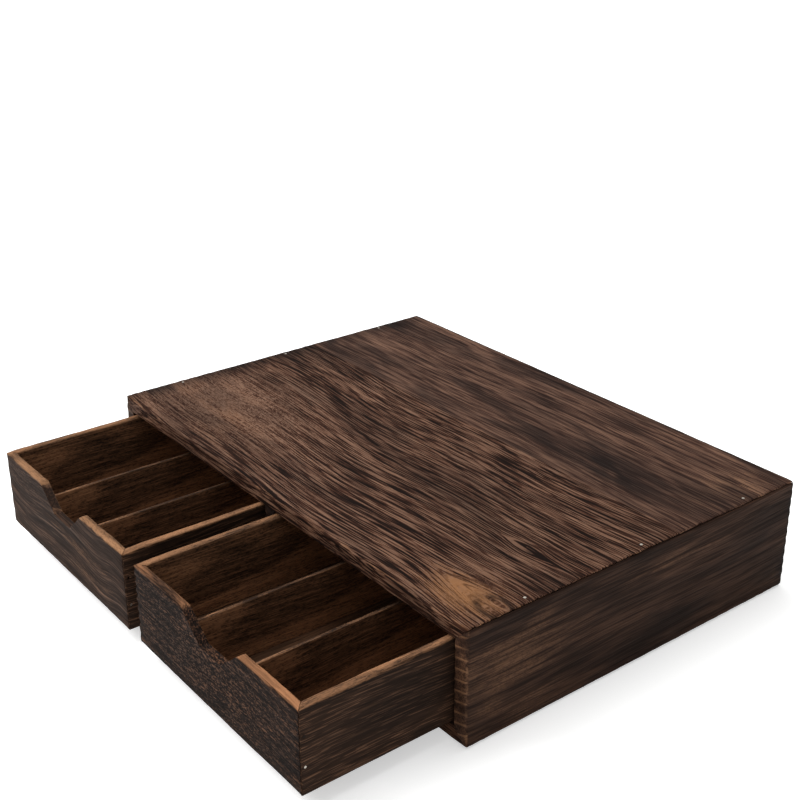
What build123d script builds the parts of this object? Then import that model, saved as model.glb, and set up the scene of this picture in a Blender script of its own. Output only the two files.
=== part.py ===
from build123d import *
import os

os.makedirs("parts", exist_ok=True)

# Low two-drawer wooden box, made to stand on a worktop and carry a load on its flat top.
# Millimetres. +Z is up, +X is the right-hand side and the drawers pull out towards -Y.
# The origin is the middle of the case's underside.

# Case: four mitred walls, a centre partition and a back panel. The top and bottom are two planks wide
case_width = 421.0
case_depth = 297.0
case_height = 84.0
case_board = 12.0
partition_board = 12.0
front_plank_width = 179.0
case_edge_round = 2.5
bay_edge_round = 1.2
partition_setback = 0.8

back_thickness = 6.0
back_rebate_width = 6.0
back_gap = 0.3

# Drawers: four thin mitred walls round a plywood floor, with two low dividers
drawer_board = 6.5
drawer_rear_gap = 7.0
drawer_side_gap = 1.6
drawer_top_gap = 0.7
drawer_bottom_gap = 0.3
drawer_edge_round = 1.3
wall_top_round = 1.2

floor_thickness = 3.0
floor_groove_depth = 3.0
floor_lift = 3.0
floor_edge_gap = 0.4
floor_groove_play = 0.2

divider_thickness = 3.0
divider_drop = 12.0
divider_housing_depth = 2.0
divider_end_gap = 0.3
divider_top_round = 0.7

# Finger scoop: a symmetric trapezoid cut out of each drawer front
scoop_top_width = 66.0
scoop_bottom_width = 24.0
scoop_depth = 18.0
scoop_corner_round = 2.5

# How far the drawers stand open, measured from flush with the case
drawer_pull = 106.4

# Steel brads
case_brad_length = 25.0
case_brad_diameter = 1.2
drawer_brad_length = 16.0
drawer_brad_diameter = 1.0
brad_head_ratio = 1.6
brad_head_height = 0.8
brad_point_height = 1.5
case_brad_inset = 49.0
back_brad_inset = 60.0
drawer_brad_height_low = 19.5
drawer_brad_height_high = 40.0

# Sizes that follow from the ones above
bay_width = (case_width - 2 * case_board - partition_board) / 2
bay_height = case_height - 2 * case_board
bay_centre = (bay_width + partition_board) / 2
case_front = -case_depth / 2
case_rear = case_depth / 2
plank_seam = case_front + front_plank_width

back_width = case_width - 2 * case_board + 2 * back_rebate_width - 2 * back_gap
back_height = case_height - 2 * case_board + 2 * back_rebate_width - 2 * back_gap

drawer_width = bay_width - 2 * drawer_side_gap
drawer_length = case_depth - back_thickness - drawer_rear_gap
drawer_height = bay_height - drawer_top_gap - drawer_bottom_gap
drawer_base = case_board + drawer_bottom_gap
drawer_top = drawer_base + drawer_height
drawer_front = case_front - drawer_pull
drawer_back = drawer_front + drawer_length
drawer_middle = (drawer_front + drawer_back) / 2
drawer_inner_width = drawer_width - 2 * drawer_board
drawer_inner_length = drawer_length - 2 * drawer_board

floor_base = drawer_base + floor_lift
floor_top = floor_base + floor_thickness
floor_width = drawer_inner_width + 2 * (floor_groove_depth - floor_edge_gap)
floor_length = drawer_inner_length + 2 * (floor_groove_depth - floor_edge_gap)

divider_top = drawer_top - divider_drop
divider_height = divider_top - floor_top
divider_offset = (drawer_inner_width + divider_thickness) / 6
divider_length = drawer_inner_length + 2 * (divider_housing_depth - divider_end_gap)


def export(part, label):
    """Name a finished piece and write it as its own STEP file."""
    part.label = label
    export_step(part, f"parts/{label}.step")


def make_brad(diameter, length):
    """One brad standing on its point at the origin, head up, as long as its shank and head together."""
    head = diameter * brad_head_ratio / 2
    shank = diameter / 2
    with BuildPart(mode=Mode.PRIVATE) as brad:
        with BuildSketch(Plane.XZ) as outline:
            with BuildLine():
                Polyline(
                    (0, 0),
                    (shank, brad_point_height),
                    (shank, length - brad_head_height),
                    (head, length - brad_head_height),
                    (head, length),
                    (0, length),
                    close=True,
                )
            make_face()
        revolve(outline.sketch, axis=Axis.Z)
    return brad.part


# The assembled case as one eased form: every plank and side board below is a mitred piece of it
with BuildPart() as case_form:
    with BuildSketch(Plane.XZ.offset(-case_rear)):
        with Locations((0, case_height / 2)):
            Rectangle(case_width, case_height)
    extrude(amount=case_depth)
    fillet(case_form.edges(), case_edge_round)
    with BuildSketch(Plane.XZ.offset(-case_rear)):
        with Locations((0, case_height / 2)):
            Rectangle(case_width - 2 * case_board, bay_height)
    extrude(amount=case_depth, mode=Mode.SUBTRACT)
    front_face = case_form.faces().sort_by(Axis.Y)[0]
    fillet(front_face.inner_wires()[0].edges(), bay_edge_round)
    with BuildSketch(Plane.XZ.offset(-case_rear)):
        with Locations((0, case_height / 2)):
            Rectangle(back_width + 2 * back_gap, back_height + 2 * back_gap)
    extrude(amount=back_thickness, mode=Mode.SUBTRACT)

# Brads that hold the case, head outwards: down through the top, up through the bottom
case_brad = make_brad(case_brad_diameter, case_brad_length)
side_brad_x = (case_width - case_board) / 2
brad_rows = [case_front + case_brad_inset, 0, case_rear - case_brad_inset]
brad_planes = []
for row in brad_rows:
    for column in (-side_brad_x, side_brad_x):
        brad_planes.append(Plane((column, row, case_height - case_brad_length)))
    for column in (-side_brad_x, 0, side_brad_x):
        brad_planes.append(Plane((column, row, case_brad_length), z_dir=(0, 0, -1)))

with BuildPart() as case_brads:
    for place in brad_planes:
        add(case_brad.moved(place.location))
export(case_brads.part, "case_brads")

# Brads that hold the back panel, through its edge into the shoulder of the rebate
back_brad_length = back_thickness + case_board
back_brad = make_brad(drawer_brad_diameter, back_brad_length)
back_brad_rise = back_height / 2 - back_rebate_width / 2
back_brad_reach = back_width / 2 - back_rebate_width / 2
back_brad_spots = [(-back_brad_reach, 0), (back_brad_reach, 0)]
for rise in (-back_brad_rise, back_brad_rise):
    for reach in (-back_brad_reach + back_brad_inset, 0, back_brad_reach - back_brad_inset):
        back_brad_spots.append((reach, rise))

with BuildPart() as back_brads:
    for reach, rise in back_brad_spots:
        point = (reach, case_rear - back_brad_length, case_height / 2 + rise)
        add(back_brad.moved(Plane(point, z_dir=(0, 1, 0)).location))
export(back_brads.part, "back_brads")

# Top and bottom: two edge-glued planks each, with 45 degree mitres on their ends
planks = [("front_plank", case_front, plank_seam), ("rear_plank", plank_seam, case_rear)]
for panel, outer, inward in (("case_top", case_height, -1), ("case_bottom", 0, 1)):
    for label, start, end in planks:
        with BuildPart() as plank:
            with BuildSketch(Plane.XZ.offset(-end)):
                with BuildLine():
                    Polyline(
                        (-case_width / 2, outer),
                        (case_width / 2, outer),
                        (case_width / 2 - case_board, outer + inward * case_board),
                        (case_board - case_width / 2, outer + inward * case_board),
                        close=True,
                    )
                make_face()
            extrude(amount=end - start)
            add(case_form.part, mode=Mode.INTERSECT)
            add(case_brads.part, mode=Mode.SUBTRACT)
            add(back_brads.part, mode=Mode.SUBTRACT)
        export(plank.part, f"{panel}_{label}")

# The two side boards, mitred above and below
for label, hand in (("case_left_side", -1), ("case_right_side", 1)):
    with BuildPart() as case_side:
        with BuildSketch(Plane.XZ.offset(-case_rear)):
            with BuildLine():
                Polyline(
                    (hand * case_width / 2, 0),
                    (hand * case_width / 2, case_height),
                    (hand * (case_width / 2 - case_board), case_height - case_board),
                    (hand * (case_width / 2 - case_board), case_board),
                    close=True,
                )
            make_face()
        extrude(amount=case_depth)
        add(case_form.part, mode=Mode.INTERSECT)
        add(case_brads.part, mode=Mode.SUBTRACT)
        add(back_brads.part, mode=Mode.SUBTRACT)
    export(case_side.part, label)

# Centre partition, butted between the top and the bottom
partition_front = case_front + partition_setback
partition_rear = case_rear - back_thickness
with BuildPart() as centre_partition:
    with BuildSketch(Plane.XZ.offset(-partition_rear)):
        with Locations((0, case_height / 2)):
            Rectangle(partition_board, bay_height)
    extrude(amount=partition_rear - partition_front)
    front_uprights = centre_partition.faces().sort_by(Axis.Y)[0].edges().filter_by(Axis.Z)
    fillet(front_uprights, bay_edge_round)
    add(case_brads.part, mode=Mode.SUBTRACT)
    add(back_brads.part, mode=Mode.SUBTRACT)
export(centre_partition.part, "centre_partition")

# Back panel, flush in its rebate
with BuildPart() as case_back:
    with BuildSketch(Plane.XZ.offset(-case_rear)):
        with Locations((0, case_height / 2)):
            Rectangle(back_width, back_height)
    extrude(amount=back_thickness)
    add(back_brads.part, mode=Mode.SUBTRACT)
export(case_back.part, "case_back")


# Both drawers are the same, one on each side of the partition
drawer_brad = make_brad(drawer_brad_diameter, drawer_brad_length)
for side, drawer_x in (("left", -bay_centre), ("right", bay_centre)):
    left_wall = drawer_x - drawer_width / 2
    right_wall = drawer_x + drawer_width / 2

    # The four walls as one eased ring, with the floor groove and the divider housings cut in it
    with BuildPart() as drawer_form:
        with BuildSketch(Plane.XY.offset(drawer_base)):
            with Locations((drawer_x, drawer_middle)):
                Rectangle(drawer_width, drawer_length)
        extrude(amount=drawer_height)
        fillet(drawer_form.edges().filter_by(Axis.Z), drawer_edge_round)
        fillet(drawer_form.faces().sort_by(Axis.Z)[0].edges(), drawer_edge_round)
        with BuildSketch(Plane.XY.offset(drawer_base)):
            with Locations((drawer_x, drawer_middle)):
                Rectangle(drawer_inner_width, drawer_inner_length)
        extrude(amount=drawer_height, mode=Mode.SUBTRACT)
        fillet(drawer_form.faces().sort_by(Axis.Z)[-1].edges(), wall_top_round)
        with BuildSketch(Plane.XY.offset(floor_base)):
            with Locations((drawer_x, drawer_middle)):
                Rectangle(
                    drawer_inner_width + 2 * floor_groove_depth,
                    drawer_inner_length + 2 * floor_groove_depth,
                )
        extrude(amount=floor_thickness + floor_groove_play, mode=Mode.SUBTRACT)
        with BuildSketch(Plane.XY.offset(floor_top)):
            with Locations((drawer_x, drawer_middle)):
                with GridLocations(2 * divider_offset, 0, 2, 1):
                    Rectangle(divider_thickness, drawer_inner_length + 2 * divider_housing_depth)
        extrude(amount=divider_height, mode=Mode.SUBTRACT)

    # Corner brads, driven sideways through each mitre into the ends of the front and back
    with BuildPart() as drawer_brads:
        for rise in (drawer_brad_height_low, drawer_brad_height_high):
            for row in (drawer_front + drawer_board / 2, drawer_back - drawer_board / 2):
                for wall, hand in ((left_wall, -1), (right_wall, 1)):
                    point = (wall - hand * drawer_brad_length, row, drawer_base + rise)
                    add(drawer_brad.moved(Plane(point, z_dir=(hand, 0, 0)).location))
    export(drawer_brads.part, f"{side}_drawer_brads")

    # Front and back walls, mitred at both ends; the front has the finger scoop
    for label, outer, inward in (("front", drawer_front, 1), ("back", drawer_back, -1)):
        with BuildPart() as cross_wall:
            with BuildSketch(Plane.XY.offset(drawer_base)):
                with BuildLine():
                    Polyline(
                        (left_wall, outer),
                        (right_wall, outer),
                        (right_wall - drawer_board, outer + inward * drawer_board),
                        (left_wall + drawer_board, outer + inward * drawer_board),
                        close=True,
                    )
                make_face()
            extrude(amount=drawer_height)
            add(drawer_form.part, mode=Mode.INTERSECT)
            if label == "front":
                with BuildSketch(Plane.XZ.offset(-outer)):
                    with BuildLine():
                        Polyline(
                            (drawer_x - scoop_top_width / 2, drawer_top),
                            (drawer_x - scoop_bottom_width / 2, drawer_top - scoop_depth),
                            (drawer_x + scoop_bottom_width / 2, drawer_top - scoop_depth),
                            (drawer_x + scoop_top_width / 2, drawer_top),
                            close=True,
                        )
                    scoop_outline = make_face()
                    fillet(scoop_outline.vertices().group_by(Axis.Y)[0], scoop_corner_round)
                extrude(amount=-drawer_board, mode=Mode.SUBTRACT)
            add(drawer_brads.part, mode=Mode.SUBTRACT)
        export(cross_wall.part, f"{side}_drawer_{label}")

    # Left and right walls
    for label, outer, inward in (("left_side", left_wall, 1), ("right_side", right_wall, -1)):
        with BuildPart() as long_wall:
            with BuildSketch(Plane.XY.offset(drawer_base)):
                with BuildLine():
                    Polyline(
                        (outer, drawer_front),
                        (outer, drawer_back),
                        (outer + inward * drawer_board, drawer_back - drawer_board),
                        (outer + inward * drawer_board, drawer_front + drawer_board),
                        close=True,
                    )
                make_face()
            extrude(amount=drawer_height)
            add(drawer_form.part, mode=Mode.INTERSECT)
            add(drawer_brads.part, mode=Mode.SUBTRACT)
        export(long_wall.part, f"{side}_drawer_{label}")

    # Plywood floor, resting on the lower lip of the groove
    with BuildPart() as drawer_floor:
        with BuildSketch(Plane.XY.offset(floor_base)):
            with Locations((drawer_x, drawer_middle)):
                Rectangle(floor_width, floor_length)
        extrude(amount=floor_thickness)
    export(drawer_floor.part, f"{side}_drawer_floor")

    # Two low dividers that split the drawer into three equal rows
    for label, shift in (("left_divider", -divider_offset), ("right_divider", divider_offset)):
        with BuildPart() as divider:
            with BuildSketch(Plane.XY.offset(floor_top)):
                with Locations((drawer_x + shift, drawer_middle)):
                    Rectangle(divider_thickness, divider_length)
            extrude(amount=divider_height)
            top_edges = divider.faces().sort_by(Axis.Z)[-1].edges().filter_by(Axis.Y)
            fillet(top_edges, divider_top_round)
        export(divider.part, f"{side}_drawer_{label}")
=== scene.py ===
import math

import bmesh
import bpy
import numpy as np
from mathutils import Matrix, Vector, noise


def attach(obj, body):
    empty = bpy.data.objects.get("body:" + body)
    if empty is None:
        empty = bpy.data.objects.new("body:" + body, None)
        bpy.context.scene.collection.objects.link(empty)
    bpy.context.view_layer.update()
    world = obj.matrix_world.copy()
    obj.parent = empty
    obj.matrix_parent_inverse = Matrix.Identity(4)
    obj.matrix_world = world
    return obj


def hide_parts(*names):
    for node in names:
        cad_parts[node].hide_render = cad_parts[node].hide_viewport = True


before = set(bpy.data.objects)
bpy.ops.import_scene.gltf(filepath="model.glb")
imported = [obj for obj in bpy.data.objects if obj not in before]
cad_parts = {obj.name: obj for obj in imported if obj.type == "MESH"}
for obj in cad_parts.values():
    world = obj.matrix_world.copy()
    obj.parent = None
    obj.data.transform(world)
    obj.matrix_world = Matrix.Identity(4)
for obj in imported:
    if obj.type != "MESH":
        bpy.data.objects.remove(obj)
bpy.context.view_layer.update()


# Camera. It looks down over the front right corner of the case at the photograph's own angle, about a
# metre from the middle of the case. Metres and degrees, in the same frame as the case.
camera_place = (0.6804, -0.5578, 0.5041)
camera_azimuth = math.radians(52.41)
camera_elevation = math.radians(24.02)
camera_roll = math.radians(-0.26)

camera_data = bpy.data.cameras.new("studio_camera")
camera_data.sensor_fit = "HORIZONTAL"
camera_data.sensor_width = 36.0
camera_data.lens = 58.98
camera_data.clip_end = 50.0
camera = bpy.data.objects.new("studio_camera", camera_data)
bpy.context.scene.collection.objects.link(camera)
camera.matrix_world = (
    Matrix.Translation(camera_place)
    @ Matrix.Rotation(camera_azimuth, 4, "Z")
    @ Matrix.Rotation(math.radians(90) - camera_elevation, 4, "X")
    @ Matrix.Rotation(camera_roll, 4, "Z")
)
bpy.context.scene.camera = camera
bpy.context.scene.view_settings.view_transform = "Standard"


# Studio floor and light. A matt white sheet under the case, a large soft lamp high on the left of the
# front, a weaker one overhead, and a white surround that is dimmer on the right of the case.
def from_hex(text):
    """An sRGB hex colour as linear red, green, blue and an alpha of 1."""
    channels = [int(text[start:start + 2], 16) / 255 for start in (1, 3, 5)]
    linear = [c / 12.92 if c <= 0.04045 else ((c + 0.055) / 1.055) ** 2.4 for c in channels]
    return (*linear, 1.0)


def add_node(tree, kind, settings=None, inputs=None, output=0):
    """Adds a node, sets it up, feeds its inputs with values or other outputs, and returns an output."""
    node = tree.nodes.new(kind)
    for key, value in (settings or {}).items():
        setattr(node, key, value)
    for key, value in (inputs or {}).items():
        if isinstance(value, bpy.types.NodeSocket):
            tree.links.new(value, node.inputs[key])
        else:
            node.inputs[key].default_value = value
    return node.outputs[output] if node.outputs else None


def new_material(name):
    """A material with an empty node tree."""
    material = bpy.data.materials.new(name)
    material.use_nodes = True
    material.node_tree.nodes.clear()
    return material, material.node_tree


# Matt white paper: it shows the case's soft shadow near the case and goes pure white further out
paper, tree = new_material("matt_white_paper")
place = add_node(tree, "ShaderNodeNewGeometry", output="Position")
reach = add_node(tree, "ShaderNodeVectorMath", {"operation": "LENGTH"}, {0: place}, output="Value")
glow = add_node(tree, "ShaderNodeMapRange", {"interpolation_type": "SMOOTHSTEP"}, {
    "Value": reach, "From Min": 0.2, "From Max": 1.1, "To Min": 0.5, "To Max": 1.0})
seen = add_node(tree, "ShaderNodeLightPath", output="Is Camera Ray")
glow_seen = add_node(tree, "ShaderNodeMath", {"operation": "MULTIPLY"}, {0: glow, 1: seen})
sheet = add_node(tree, "ShaderNodeBsdfPrincipled", None, {
    "Base Color": from_hex("#EDEDEC"),
    "Roughness": 0.95,
    "Specular IOR Level": 0.1,
    "Emission Color": from_hex("#FFFFFF"),
    "Emission Strength": glow_seen,
})
add_node(tree, "ShaderNodeOutputMaterial", None, {"Surface": sheet})

sheet_reach = 10.0
sheet_drop = 0.0005
quadrants = ((-1, -1), (1, -1), (1, 1), (-1, 1))
corners = [(x * sheet_reach, y * sheet_reach, -sheet_drop) for x, y in quadrants]
sheet_mesh = bpy.data.meshes.new("studio_floor")
sheet_mesh.from_pydata(corners, [], [(0, 1, 2, 3)])
sheet_mesh.materials.append(paper)
studio_floor = bpy.data.objects.new("studio_floor", sheet_mesh)
bpy.context.scene.collection.objects.link(studio_floor)

surround = bpy.data.worlds.new("white_surround")
bpy.context.scene.world = surround
surround.use_nodes = True
tree = surround.node_tree
tree.nodes.clear()
bright_side = Vector((-0.75, -0.55, 0.35)).normalized()
direction = add_node(tree, "ShaderNodeTexCoord", output="Generated")
side = add_node(tree, "ShaderNodeVectorMath", {"operation": "DOT_PRODUCT"}, {
    0: direction, 1: bright_side}, output="Value")
level = add_node(tree, "ShaderNodeMapRange", None, {
    "Value": side, "From Min": -1.0, "From Max": 1.0, "To Min": 0.14, "To Max": 0.72})
seen = add_node(tree, "ShaderNodeLightPath", output="Is Camera Ray")
strength = add_node(tree, "ShaderNodeMix", {"data_type": "FLOAT"}, {0: seen, 2: level, 3: 1.0})
sky = add_node(tree, "ShaderNodeBackground", None, {"Color": from_hex("#FFFFFF"), "Strength": strength})
add_node(tree, "ShaderNodeOutputWorld", None, {"Surface": sky})

lamps = {
    "key_softbox": (1.1, 30.0, (-0.9, -1.3, 1.7)),
    "top_softbox": (1.4, 17.0, (-0.1, 0.3, 2.0)),
}
for name, (size, watts, place) in lamps.items():
    data = bpy.data.lights.new(name, "AREA")
    data.size = size
    data.energy = watts
    lamp = bpy.data.objects.new(name, data)
    bpy.context.scene.collection.objects.link(lamp)
    lamp.location = place
    lamp.rotation_euler = (-Vector(place)).to_track_quat("-Z", "Y").to_euler()


# Bottom planks. Two softwood planks glued edge to edge, mitred at the ends, torched and then
# wire-brushed along the grain, which wears the soft wood down between hard ridges and frays the edges.
MM = 0.001


def cut_into_cells(mesh, cell_sizes):
    """Cuts a board's flat faces into cells of about the given sizes along x, y and z, in metres."""
    bmesh.ops.remove_doubles(mesh, verts=mesh.verts, dist=1e-6)
    bmesh.ops.dissolve_limit(mesh, angle_limit=math.radians(0.4), verts=mesh.verts, edges=mesh.edges)
    places = np.array([vertex.co for vertex in mesh.verts])
    low, high = places.min(0), places.max(0)
    for axis, size in enumerate(cell_sizes):
        count = max(1, round((high[axis] - low[axis]) / size))
        normal = [0.0, 0.0, 0.0]
        normal[axis] = 1.0
        for share in np.linspace(0, 1, count + 1)[1:-1]:
            point = low + (high - low) * share
            geometry = mesh.verts[:] + mesh.edges[:] + mesh.faces[:]
            bmesh.ops.bisect_plane(mesh, geom=geometry, dist=1e-7, plane_co=point, plane_no=normal)


def side_gaps(places, glued=()):
    """How far each point is inside the board's six outer planes, in millimetres. A glued side counts as
    far away, so that it isn't worn."""
    far_away = np.full(len(places), 1e3)
    low, high = places.min(0), places.max(0)
    gaps = {}
    for axis, letter in enumerate("xyz"):
        gaps["-" + letter] = places[:, axis] - low[axis]
        gaps["+" + letter] = high[axis] - places[:, axis]
    return {side: far_away if side in glued else gap for side, gap in gaps.items()}


def grain_noise(u, v, w, along, across, seed):
    """Smooth noise from -1 to 1, stretched along the grain, and sheared so that its cells don't line up."""
    a, b, c = u / along, v / across, w / across
    points = zip(a + 0.6 * b, b + 0.35 * c + seed, c + 0.4 * a)
    return np.array([noise.noise(point) for point in points])


def ovals(u, v, spots):
    """How strongly each point lies in soft ovals, each given as centre, half sizes and strength."""
    share = np.zeros_like(u)
    for centre_u, centre_v, half_u, half_v, strength in spots:
        oval = np.exp(-((u - centre_u) / half_u) ** 2 - ((v - centre_v) / half_v) ** 2)
        share = np.maximum(share, strength * oval)
    return share


def growth_rings(u, v, w, log):
    """The ring number at each point of a board cut from a log, and how far its fibres bend aside. In
    millimetres, u runs along the grain, v across the face and w through the thickness from its middle."""
    pith_v, pith_w = log["pith"]
    seed, sway = log["seed"], log.get("sway", 2.5)
    bend = sway * np.sin(u / 90 + seed) + 0.45 * sway * np.sin(u / 31 + 2 * seed + v / 45)
    bend = bend + log.get("ripple", 0.0) * np.sin(u / 13 + 1.4 * np.sin(u / 37) + v / 60)
    for knot_u, knot_v, size in log.get("knots", []):
        side_v = v - knot_v
        push = np.exp(-((u - knot_u) / (3.0 * size)) ** 2 - np.abs(side_v) / (1.6 * size))
        bend = bend - size * push * np.tanh(2.5 * side_v / size)
    through = w - pith_w + log.get("taper", 0.0) * u
    rings = np.hypot(v + bend - pith_v, through) / log["ring"]
    return rings, bend


def knot_rims(u, v, log):
    """Dark oval rims round a log's knots."""
    rims = np.zeros_like(u)
    for knot_u, knot_v, size in log.get("knots", []):
        distance = np.hypot((u - knot_u) / size, (v - knot_v) / (0.72 * size))
        rims = np.maximum(rims, 0.9 * np.exp(-((distance - 0.9) / 0.2) ** 2))
    return rims


def brushed_board(node, body, material, axes, log, shown, glued=(), rubbed=None, looks=None, painted_light_sides=(),
                  cells=(6.0, 1.4, 1.4), relief=0.2, wear=0.5, scallop=0.25, corner=("z", 1.2)):
    """Stands for a CAD board: its exact form in small cells, grooved along the grain and worn on its edges.
    axes names x, y, z in the order along the grain, across the face, through the thickness, which is also
    the order of the cell sizes. Lengths are in millimetres: relief is the depth of the brushed grooves,
    wear and scallop that of the nibbled edges, and corner the axis and depth by which outer corners are
    knocked off. shown lists the sides that are worked, and glued those joined to another board. The sides
    listed after looks are lightened towards rubbed wood as painted light, standing in for light bounced
    inside the drawers. rubbed gives a side or an edge the reach and strength to which its soot is rubbed
    off, and looks places ovals of curly grain, bare wood and darker wood on the face: extra char, and
    painted shade on some edges and ends."""
    edge_band, corner_band, swell_depth = 3.2, 7.0, 0.08
    mesh = bmesh.new()
    mesh.from_mesh(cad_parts[node].data)
    order = ["xyz".index(letter) for letter in axes]
    cell_sizes = [cells[order.index(axis)] * MM for axis in range(3)]
    cut_into_cells(mesh, cell_sizes)
    mesh.normal_update()
    places = np.array([vertex.co for vertex in mesh.verts]) / MM
    normals = np.array([vertex.normal for vertex in mesh.verts])
    u, v, w = (places[:, axis] for axis in order)
    w = w - (w.min() + w.max()) / 2
    rings, bend = growth_rings(u, v, w, log)
    gaps = side_gaps(places, glued)
    nearest = np.sort([np.minimum(gaps["-" + letter], gaps["+" + letter]) for letter in "xyz"], axis=0)
    worn = np.clip(1 - nearest[1] / edge_band, 0, 1)
    at_corner = np.clip(1 - nearest[1] / corner_band, 0, 1) * np.clip(1 - nearest[2] / corner_band, 0, 1)

    seed = log["seed"]
    strand = grain_noise(u, v + bend, w, along=20.0, across=2.1, seed=seed)
    swell = grain_noise(u, v, w, along=55.0, across=22.0, seed=seed)
    nibble = grain_noise(u, v, w, along=7.0, across=7.0, seed=seed)
    soft_wood = np.exp(-((rings % 1.0 - 0.5) / 0.25) ** 2)
    hollow = 0.45 * soft_wood + 0.55 * np.clip(0.5 + strand, 0, 1)
    depth = relief * hollow + swell_depth * np.clip(1 + swell, 0, 2) + scallop * worn * soft_wood
    depth += wear * worn ** 2 * np.clip(0.45 + 0.9 * nibble, 0, 1)

    moved = places.copy()
    for side in shown:
        axis = "xyz".index(side[1])
        sign = 1.0 if side[0] == "+" else -1.0
        middle = (places[:, axis].min() + places[:, axis].max()) / 2
        facing = np.clip(sign * normals[:, axis], 0, 1) * (sign * (places[:, axis] - middle) > 0)
        knocked = corner[1] * at_corner if side[1] == corner[0] else 0.0
        moved[:, axis] -= sign * facing * (depth + knocked)
    for vertex, place in zip(mesh.verts, moved * MM):
        vertex.co = place

    lightening = np.zeros_like(u)
    for side, (reach, strength) in (rubbed or {}).items():
        if len(side) == 4:
            gap = np.hypot(gaps[side[:2]], gaps[side[2:]])
        else:
            gap = gaps[side]
        share = np.clip(1.5 - (gap + 1.1 * nibble) / reach, 0, 1) * (1 + 0.35 * swell)
        lightening = np.maximum(lightening, strength * share)
    looks = looks or {}
    values = {look: ovals(u, v, looks.get(look, [])) for look in ("curl", "bare_and_painted_light", "darkening")}
    values["bare_and_painted_light"] = np.maximum(values["bare_and_painted_light"], lightening)
    # Painted light: these inner faces are lightened towards rubbed wood, standing in for light bounced
    # inside the drawers
    for side in painted_light_sides:
        sign = 1.0 if side[0] == "+" else -1.0
        facing = np.clip(sign * normals[:, "xyz".index(side[1])], 0, 1)
        values["bare_and_painted_light"] = np.maximum(values["bare_and_painted_light"], 0.95 * facing)
    values["darkening"] = np.maximum(values["darkening"], knot_rims(u, v, log))
    values |= {"rings": rings, "hollow": hollow, "end_grain": np.abs(normals[:, order[0]]) ** 2}

    data = bpy.data.meshes.new(node + "_wood")
    mesh.to_mesh(data)
    mesh.free()
    data.attributes.new("fibre", "FLOAT_VECTOR", "POINT").data.foreach_set(
        "vector", np.column_stack([u, v + bend, w]).astype(np.float32).ravel())
    for name, value in values.items():
        data.attributes.new(name, "FLOAT", "POINT").data.foreach_set("value", value.astype(np.float32))
    data.polygons.foreach_set("use_smooth", [True] * len(data.polygons))
    data.set_sharp_from_angle(angle=math.radians(38))
    data.materials.append(material)
    board = bpy.data.objects.new(node + "_wood", data)
    bpy.context.scene.collection.objects.link(board)
    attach(board, body)
    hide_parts(node)


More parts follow.
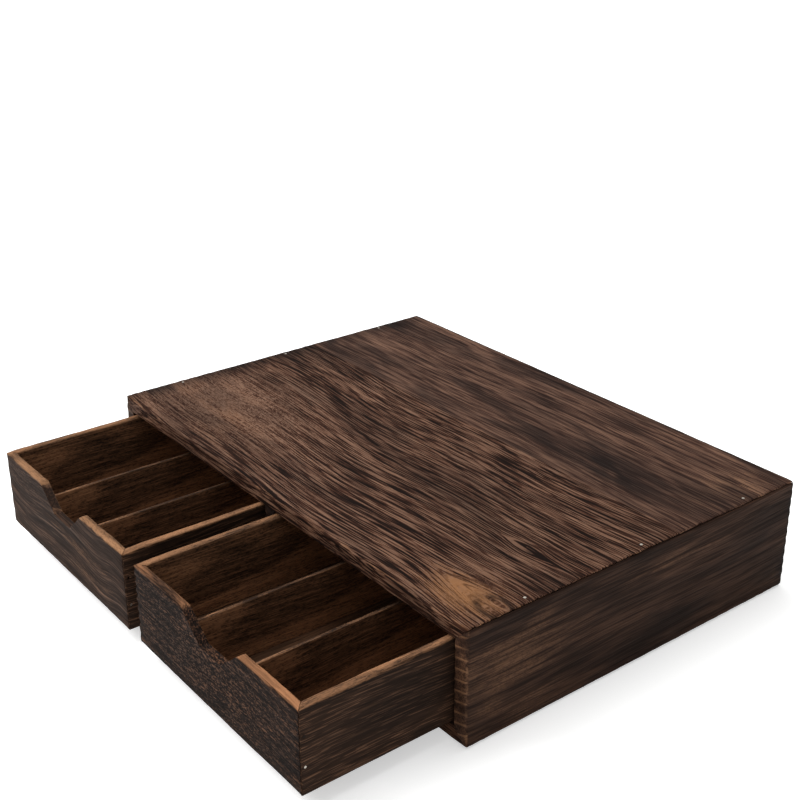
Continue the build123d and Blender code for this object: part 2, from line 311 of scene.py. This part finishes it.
def torched_wood(name, dark, middle, light, rubbed, seed, tone=0.65, threads=0.5, streaks=0.5, pores=0.6,
                 lines=0.3, curls=0.35, curl_tone=0.5, darkening=0.4, sheen=0.1):
    """Torched, wire-brushed softwood under a thin oil. Burnt pores and ring lines look near black between
    brown ridges, rubbed edges show orange-brown wood, and the oil gives the ridges a soft sheen."""
    material, tree = new_material(name)
    fibre = add_node(tree, "ShaderNodeAttribute", {"attribute_name": "fibre"}, output="Vector")
    rings, hollow, end_grain, curl, bare_and_painted_light, char_and_shade = (
        add_node(tree, "ShaderNodeAttribute", {"attribute_name": key}, output="Fac")
        for key in ("rings", "hollow", "end_grain", "curl", "bare_and_painted_light", "darkening"))

    # Each pattern: millimetres along and across the grain, detail, distortion, and the noise values that
    # become 0 and 1. Real threads and dashes are finer: these are just coarse enough to show from afar
    patterns = {
        "thread": (34.0, 1.0, 0.7, 0.12, 0.4, 0.58),
        "dash": (15.0, 0.7, 0.5, 0.15, 0.56, 0.66),
        "streak": (70.0, 3.5, 2.0, 0.3, 0.36, 0.64),
        "stroke": (3.6, 1.1, 2.0, 1.2, 0.46, 0.62),
        "patch": (85.0, 22.0, 3.0, 0.5, 0.42, 0.68),
    }
    lattice_turn = (0.35, 0.5, 0.6)
    grain = {}
    for key, (along, across, detail, distortion, low, high) in patterns.items():
        point = add_node(tree, "ShaderNodeMapping", None, {
            "Vector": fibre, "Location": (seed, 3 * seed, 0), "Rotation": lattice_turn,
            "Scale": (1 / along, 1 / across, 1 / across)})
        wave = add_node(tree, "ShaderNodeTexNoise", None, {
            "Vector": point, "Scale": 1.0, "Detail": detail, "Distortion": distortion})
        grain[key] = add_node(tree, "ShaderNodeMapRange", {"interpolation_type": "SMOOTHSTEP"}, {
            "Value": wave, "From Min": low, "From Max": high})

    def add_up(*terms):
        """The sum of products of two or three factors each."""
        total = 0.0
        for first, *others in terms:
            for factor in others[:-1]:
                first = add_node(tree, "ShaderNodeMath", {"operation": "MULTIPLY"}, {0: first, 1: factor})
            total = add_node(tree, "ShaderNodeMath", {"operation": "MULTIPLY_ADD"}, {
                0: first, 1: others[-1], 2: total})
        return total

    # Ring lines, thin and dark on the faces and light on end grain
    ring_place = add_up((grain["streak"], 0.18), (grain["streak"], end_grain, -0.18), (rings, 1.0))
    phase = add_node(tree, "ShaderNodeMath", {"operation": "FRACT"}, {0: ring_place})
    ring_line = add_node(tree, "ShaderNodeMapRange", {"interpolation_type": "SMOOTHSTEP"}, {
        "Value": phase, "From Min": 0.76, "From Max": 0.97})

    # Shade: 0 is burnt and 1 is a brushed ridge
    base = tone - (threads + streaks) / 2
    end_line = add_node(tree, "ShaderNodeMath", {"operation": "MULTIPLY"}, {0: ring_line, 1: end_grain})
    long_grain = add_up(
        (grain["thread"], threads), (grain["streak"], streaks), (grain["dash"], -pores),
        (ring_line, grain["patch"], -1.6 * lines), (hollow, -0.25), (end_line, 1.0), (end_grain, 0.1),
        (base, 1.0))
    curly = add_up((grain["stroke"], curls), (grain["thread"], 0.2), (curl_tone - curls / 2 - 0.1, 1.0))
    shade = add_node(tree, "ShaderNodeMix", {"data_type": "FLOAT"}, {0: curl, 2: long_grain, 3: curly})
    shade = add_node(tree, "ShaderNodeClamp", None, {"Value": shade})

    low_shade = add_node(tree, "ShaderNodeMapRange", None, {"Value": shade, "From Max": 0.55})
    high_shade = add_node(tree, "ShaderNodeMapRange", None, {"Value": shade, "From Min": 0.45})
    colour = from_hex(dark)
    for share, next_colour in ((low_shade, middle), (high_shade, light)):
        colour = add_node(tree, "ShaderNodeMix", {"data_type": "RGBA"}, {
            0: share, 6: colour, 7: from_hex(next_colour)}, output=2)

    # Rubbed wood on the edges and in the bare spots, still dark in the deepest grain. The same lighter wood
    # is painted light on the drawers' inner faces.
    rubbed_and_lit = add_up(
        (bare_and_painted_light, 1.0), (shade, 0.8), (grain["patch"], -0.3), (grain["stroke"], -0.35), (end_line, 0.6))
    lightening = add_node(tree, "ShaderNodeMapRange", {"interpolation_type": "SMOOTHSTEP"}, {
        "Value": rubbed_and_lit, "From Min": 0.42, "From Max": 1.75})
    colour = add_node(tree, "ShaderNodeMix", {"data_type": "RGBA"}, {
        0: lightening, 6: colour, 7: from_hex(rubbed)}, output=2)
    # Soot patches, knot rims and char ovals darken towards the dark colour, as do the ovals of painted
    # shade on some edges and ends
    soot_and_shade = add_node(tree, "ShaderNodeClamp", None, {"Value": add_up((grain["patch"], darkening), (char_and_shade, 0.9))})
    colour = add_node(tree, "ShaderNodeMix", {"data_type": "RGBA"}, {
        0: soot_and_shade, 6: colour, 7: from_hex(dark)}, output=2)

    bump = add_node(tree, "ShaderNodeBump", None, {"Strength": 0.8, "Distance": 0.3 * MM, "Height": shade})
    matt = add_node(tree, "ShaderNodeMapRange", None, {"Value": shade, "To Min": 0.8, "To Max": 0.5})
    surface = add_node(tree, "ShaderNodeBsdfPrincipled", None, {
        "Base Color": colour,
        "Roughness": matt,
        "Specular IOR Level": sheen,
        "Normal": bump,
    })
    add_node(tree, "ShaderNodeOutputMaterial", None, {"Surface": surface})
    return material


case_wood = torched_wood("torched_softwood_case", "#1A0F0A", "#43291D", "#6B4A36", "#8F6544", seed=21.0)
bottom_log = {"pith": (30.0, -90.0), "ring": 6.5, "seed": 6.3}
case_corner = ("y", 1.3)
for plank in ("front", "rear"):
    free_side, seam_side = ("-y", "+y") if plank == "front" else ("+y", "-y")
    brushed_board(
        f"case_bottom_{plank}_plank", "case", case_wood, "xyz", bottom_log,
        shown=("-z", "+z", "-x", "+x", free_side), glued=(seam_side,), cells=(12.0, 3.0, 2.0),
        corner=case_corner)


# Side boards. Quarter-sawn planks set on edge and mitred to the planks above and below, so that their
# faces show long straight streaks and their front ends a ladder of growth rings.
side_wood = torched_wood(
    "torched_softwood_sides", "#1C120E", "#3D2A20", "#5C4031", "#8A6448", seed=5.0, threads=0.25,
    streaks=0.25, pores=-0.08, lines=0.08, darkening=0.55)
side_looks = {
    "bare_and_painted_light": [
        (-131, 24, 16, 9, 0.6), (138, 16, 10, 8, 0.65), (-110, 50, 60, 45, 0.42), (10, 66, 70, 5, 0.3)],
    # The last darker oval, along the rear ends of the side boards, is painted shade on the edge turned away
    # from the lamps
    "darkening": [
        (40, 22, 80, 14, 0.35), (-60, 80, 60, 4, 0.4), (125, 50, 40, 30, 0.25), (150, 42, 6, 300, 0.95)],
}
for hand, outward, seed, pith_w in (("left", "-x", 2.2, -40.0), ("right", "+x", 8.4, 55.0)):
    brushed_board(
        f"case_{hand}_side", "case", side_wood, "yzx",
        {"pith": (-170.0, pith_w), "ring": 7.5, "seed": seed, "sway": 1.5},
        shown=(outward, "-y", "+y", "-z", "+z"), rubbed={"-y" + outward: (1.2, 0.8)}, looks=side_looks,
        relief=0.14, scallop=0.5, corner=case_corner)


# Centre partition. An upright board butted between the top and the bottom, its front end set back a little,
# with the same ladder of rings. Its front end, in the gap between the drawers, is darkened as painted
# shade.
brushed_board(
    "centre_partition", "case", side_wood, "yzx",
    {"pith": (-120.0, -40.0), "ring": 6.0, "seed": 3.9}, shown=("-y", "-x", "+x"), cells=(8.0, 2.0, 2.0),
    looks={"darkening": [(-148, 42, 30, 60, 0.85)]})


# Back panel. A thin sheet of plywood let into the rebate round the rear of the case and held by small
# brads. It is torched and brushed like the boards.
brushed_board(
    "case_back", "case", case_wood, "xzy",
    {"pith": (20.0, 150.0), "ring": 5.5, "seed": 7.7, "taper": 0.04}, shown=("+y",), cells=(8.0, 1.6, 2.0))


# Top planks. The front one is flat-sawn, deeply brushed, with a curly corner on the left and two knots
# on the right, where the torch left it lighter. The curly corner is painted lighter, partly for its figure
# and partly as painted sheen of the bright surroundings on the grazing top. The rear one is finer and
# smoother.
front_plank_wood = torched_wood(
    "torched_softwood_deep_brushed", "#150B07", "#482B1E", "#7C5E4C", "#8F633F", seed=3.0, tone=0.55,
    threads=0.75, streaks=0.25, pores=0.4, lines=0.15, curls=0.85, curl_tone=1.02, darkening=0.35, sheen=0.07)
rear_plank_wood = torched_wood(
    "torched_softwood_fine_brushed", "#1A0F0B", "#3E281F", "#6A4E3F", "#8F6B4E", seed=11.0, threads=0.4,
    streaks=0.35, pores=-0.25, lines=0.1, darkening=0.6, sheen=0.08)
front_log = {
    "pith": (-40.0, -60.0), "ring": 7.0, "seed": 1.7, "sway": 4.0, "taper": 0.03,
    "knots": [(201.0, -120.0, 14.0), (163.0, -60.0, 6.0)],
}
front_looks = {
    # The curl and bare ovals at the left corner give its curly figure and also a painted sheen
    "curl": [(-150, -92, 90, 46, 1.0), (-195, -128, 30, 26, 0.6), (183, -123, 34, 22, 0.7)],
    "bare_and_painted_light": [(180, -125, 34, 20, 0.9), (-150, -105, 60, 30, 0.3)],
    "darkening": [(100, -55, 70, 22, 0.3), (-207, -60, 12, 150, 0.7), (-95, -128, 60, 20, 0.25)],
}
brushed_board(
    "case_top_front_plank", "case", front_plank_wood, "xyz", front_log,
    shown=("+z", "-y", "-x", "+x"), glued=("+y",), rubbed={"-y+z": (1.6, 0.45)}, cells=(6.0, 0.9, 1.2),
    relief=0.36, corner=case_corner, looks=front_looks)
rear_looks = {
    "bare_and_painted_light": [(190, 100, 22, 45, 0.4)],
    # The last darker oval, along the rear edge of the top, is painted shade on the edge turned away from
    # the lamps
    "darkening": [(105, 62, 62, 28, 0.6), (-205, 100, 12, 80, 0.6), (0, 149, 900, 3, 0.8)],
}
brushed_board(
    "case_top_rear_plank", "case", rear_plank_wood, "xyz",
    {"pith": (60.0, -160.0), "ring": 6.0, "seed": 4.1, "sway": 1.5},
    shown=("+z", "+y", "-x", "+x"), glued=("-y",), looks=rear_looks, relief=0.12, corner=case_corner)


# Case brads. Thin steel pins driven through the mitres and up into the partition, and finer ones that
# hold the back panel. Their heads are left bare.
def brad_steel(name, soot_height):
    """Plain steel wire, slightly dulled. Heads above a height are blackened by the torch, and those below
    it show as small bright points in the dark wood."""
    material, tree = new_material(name)
    place = add_node(tree, "ShaderNodeNewGeometry", output="Position")
    height = add_node(tree, "ShaderNodeSeparateXYZ", None, {0: place}, output="Z")
    soot = add_node(tree, "ShaderNodeMath", {"operation": "GREATER_THAN"}, {0: height, 1: soot_height * MM})
    shade = add_node(tree, "ShaderNodeMix", {"data_type": "RGBA"}, {
        0: soot, 6: from_hex("#D9D2C6"), 7: from_hex("#2A2320")}, output=2)
    smudge = add_node(tree, "ShaderNodeTexNoise", None, {"Vector": place, "Scale": 2500.0, "Detail": 2.0})
    dull = add_node(tree, "ShaderNodeMapRange", None, {"Value": smudge, "To Min": 0.25, "To Max": 0.55})
    bump = add_node(tree, "ShaderNodeBump", None, {
        "Strength": 0.4, "Distance": 0.05 * MM, "Height": smudge})
    surface = add_node(tree, "ShaderNodeBsdfPrincipled", None, {
        "Base Color": shade, "Metallic": 1.0, "Roughness": dull, "Normal": bump})
    add_node(tree, "ShaderNodeOutputMaterial", None, {"Surface": surface})
    return material


bright_steel = brad_steel("bright_steel_wire", 100.0)
for node in ("case_brads", "back_brads"):
    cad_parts[node].data.materials.clear()
    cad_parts[node].data.materials.append(bright_steel)


# Drawer fronts. Thin boards with the trapezoid finger scoop, mitred to the walls. The left one shows
# arched growth rings, the right one short curly strokes. Their inner faces are lightened towards rubbed
# wood as painted light.
figures = {
    "left": {
        "log": {
            "pith": (-12.0, -20.0), "ring": 14.0, "seed": 2.9, "sway": 1.5, "ripple": 2.2, "taper": 0.03},
        "looks": {
            "curl": [(-175, 62, 40, 14, 0.7)],
            "bare_and_painted_light": [(-95, 44, 70, 7, 0.5), (-50, 28, 70, 9, 0.4)],
            "darkening": [(-110, 62, 90, 12, 0.4)],
        },
    },
    "right": {
        "log": {"pith": (-10.0, -35.0), "ring": 6.0, "seed": 9.1, "sway": 4.0, "taper": 0.05},
        "looks": {"curl": [(102, 44, 130, 40, 0.9)], "darkening": [(60, 40, 40, 20, 0.25)]},
    },
}
left_front_wood = torched_wood(
    "torched_softwood_left_front", "#140D0A", "#38261C", "#6E4F3C", "#A67A57", seed=14.0, tone=0.48,
    threads=0.2, streaks=0.12, pores=-0.15, lines=-0.35, darkening=0.4)
right_front_wood = torched_wood(
    "torched_softwood_right_front", "#120B08", "#2F1F17", "#734E37", "#A87551", seed=15.0, tone=0.45,
    threads=0.4, streaks=0.4, pores=0.2, lines=0.15, curls=0.9, curl_tone=0.42, darkening=0.35)
wall_wood = torched_wood(
    "torched_softwood_drawer_walls", "#1B130E", "#3E2B20", "#7C5A44", "#A87956", seed=17.0, tone=0.47,
    threads=0.17, streaks=0.12, pores=-0.32, lines=0.12, darkening=0.4)
rubbed_top = {"+z": (1.8, 1.1)}
for hand, front_wood in (("left", left_front_wood), ("right", right_front_wood)):
    brushed_board(
        f"{hand}_drawer_front", f"{hand}_drawer", front_wood, "xzy", figures[hand]["log"],
        shown=("-y", "+y", "+z", "-x", "+x"), rubbed=rubbed_top, cells=(5.0, 1.2, 1.3), relief=0.22,
        scallop=0.75, looks=figures[hand]["looks"], painted_light_sides=("+y",))


# Drawer sides and backs. Thin walls of the same wood, rubbed to lighter wood along their top edges. Their
# inner faces are lightened the same way as painted light bounced inside the drawers.
for hand, seed in (("left", 1.3), ("right", 5.8)):
    for wall, inward, offset in (("left_side", "+x", 0.0), ("right_side", "-x", 2.6)):
        brushed_board(
            f"{hand}_drawer_{wall}", f"{hand}_drawer", wall_wood, "yzx",
            {"pith": (-40.0, 60.0 * offset - 80.0), "ring": 5.0, "seed": seed + offset},
            shown=("-x", "+x", "+z", "-y"), rubbed=rubbed_top, painted_light_sides=(inward,), cells=(6.0, 1.4, 1.3),
            relief=0.22)
    brushed_board(
        f"{hand}_drawer_back", f"{hand}_drawer", wall_wood, "xzy",
        {"pith": (-30.0, 50.0), "ring": 5.5, "seed": seed + 4.0},
        shown=("-y", "+y", "+z"), rubbed=rubbed_top, cells=(7.0, 2.0, 1.3), painted_light_sides=("-y",))


# Drawer floors and dividers. Thin plywood floors let into the walls, stained brown, and two low strips
# housed in the walls that split each drawer into three rows. Both faces of the strips are lightened
# towards rubbed wood as painted light.
floor_ply = torched_wood(
    "stained_plywood_floor", "#3A2519", "#58402F", "#7A563E", "#8A6144", seed=23.0, threads=0.3,
    streaks=0.3, pores=0.2, lines=0.15, darkening=0.3)
for hand, seed in (("left", 2.4), ("right", 7.2)):
    brushed_board(
        f"{hand}_drawer_floor", f"{hand}_drawer", floor_ply, "yxz",
        {"pith": (0.0, -200.0), "ring": 9.0, "seed": seed, "taper": 0.05},
        shown=("+z",), glued=("-x", "+x", "-y", "+y"), cells=(12.0, 3.0, 3.0), relief=0.05, wear=0.0,
        scallop=0.0, corner=("z", 0.0))
    for strip in ("left_divider", "right_divider"):
        seed += 1.7
        brushed_board(
            f"{hand}_drawer_{strip}", f"{hand}_drawer", wall_wood, "yzx",
            {"pith": (-30.0, 70.0), "ring": 5.0, "seed": seed},
            shown=("-x", "+x", "+z"), rubbed={"+z": (0.9, 0.7)}, cells=(7.0, 1.6, 1.0), relief=0.12,
            wear=0.25, scallop=0.1, corner=("z", 0.0), painted_light_sides=("-x", "+x"))


# Drawer brads. Finer pins of the same steel, driven sideways through the mitred corners. The upper
# ones went black under the torch.
sooty_steel = brad_steel("sooty_steel_wire", 42.0)
for hand in ("left", "right"):
    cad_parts[f"{hand}_drawer_brads"].data.materials.clear()
    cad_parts[f"{hand}_drawer_brads"].data.materials.append(sooty_steel)
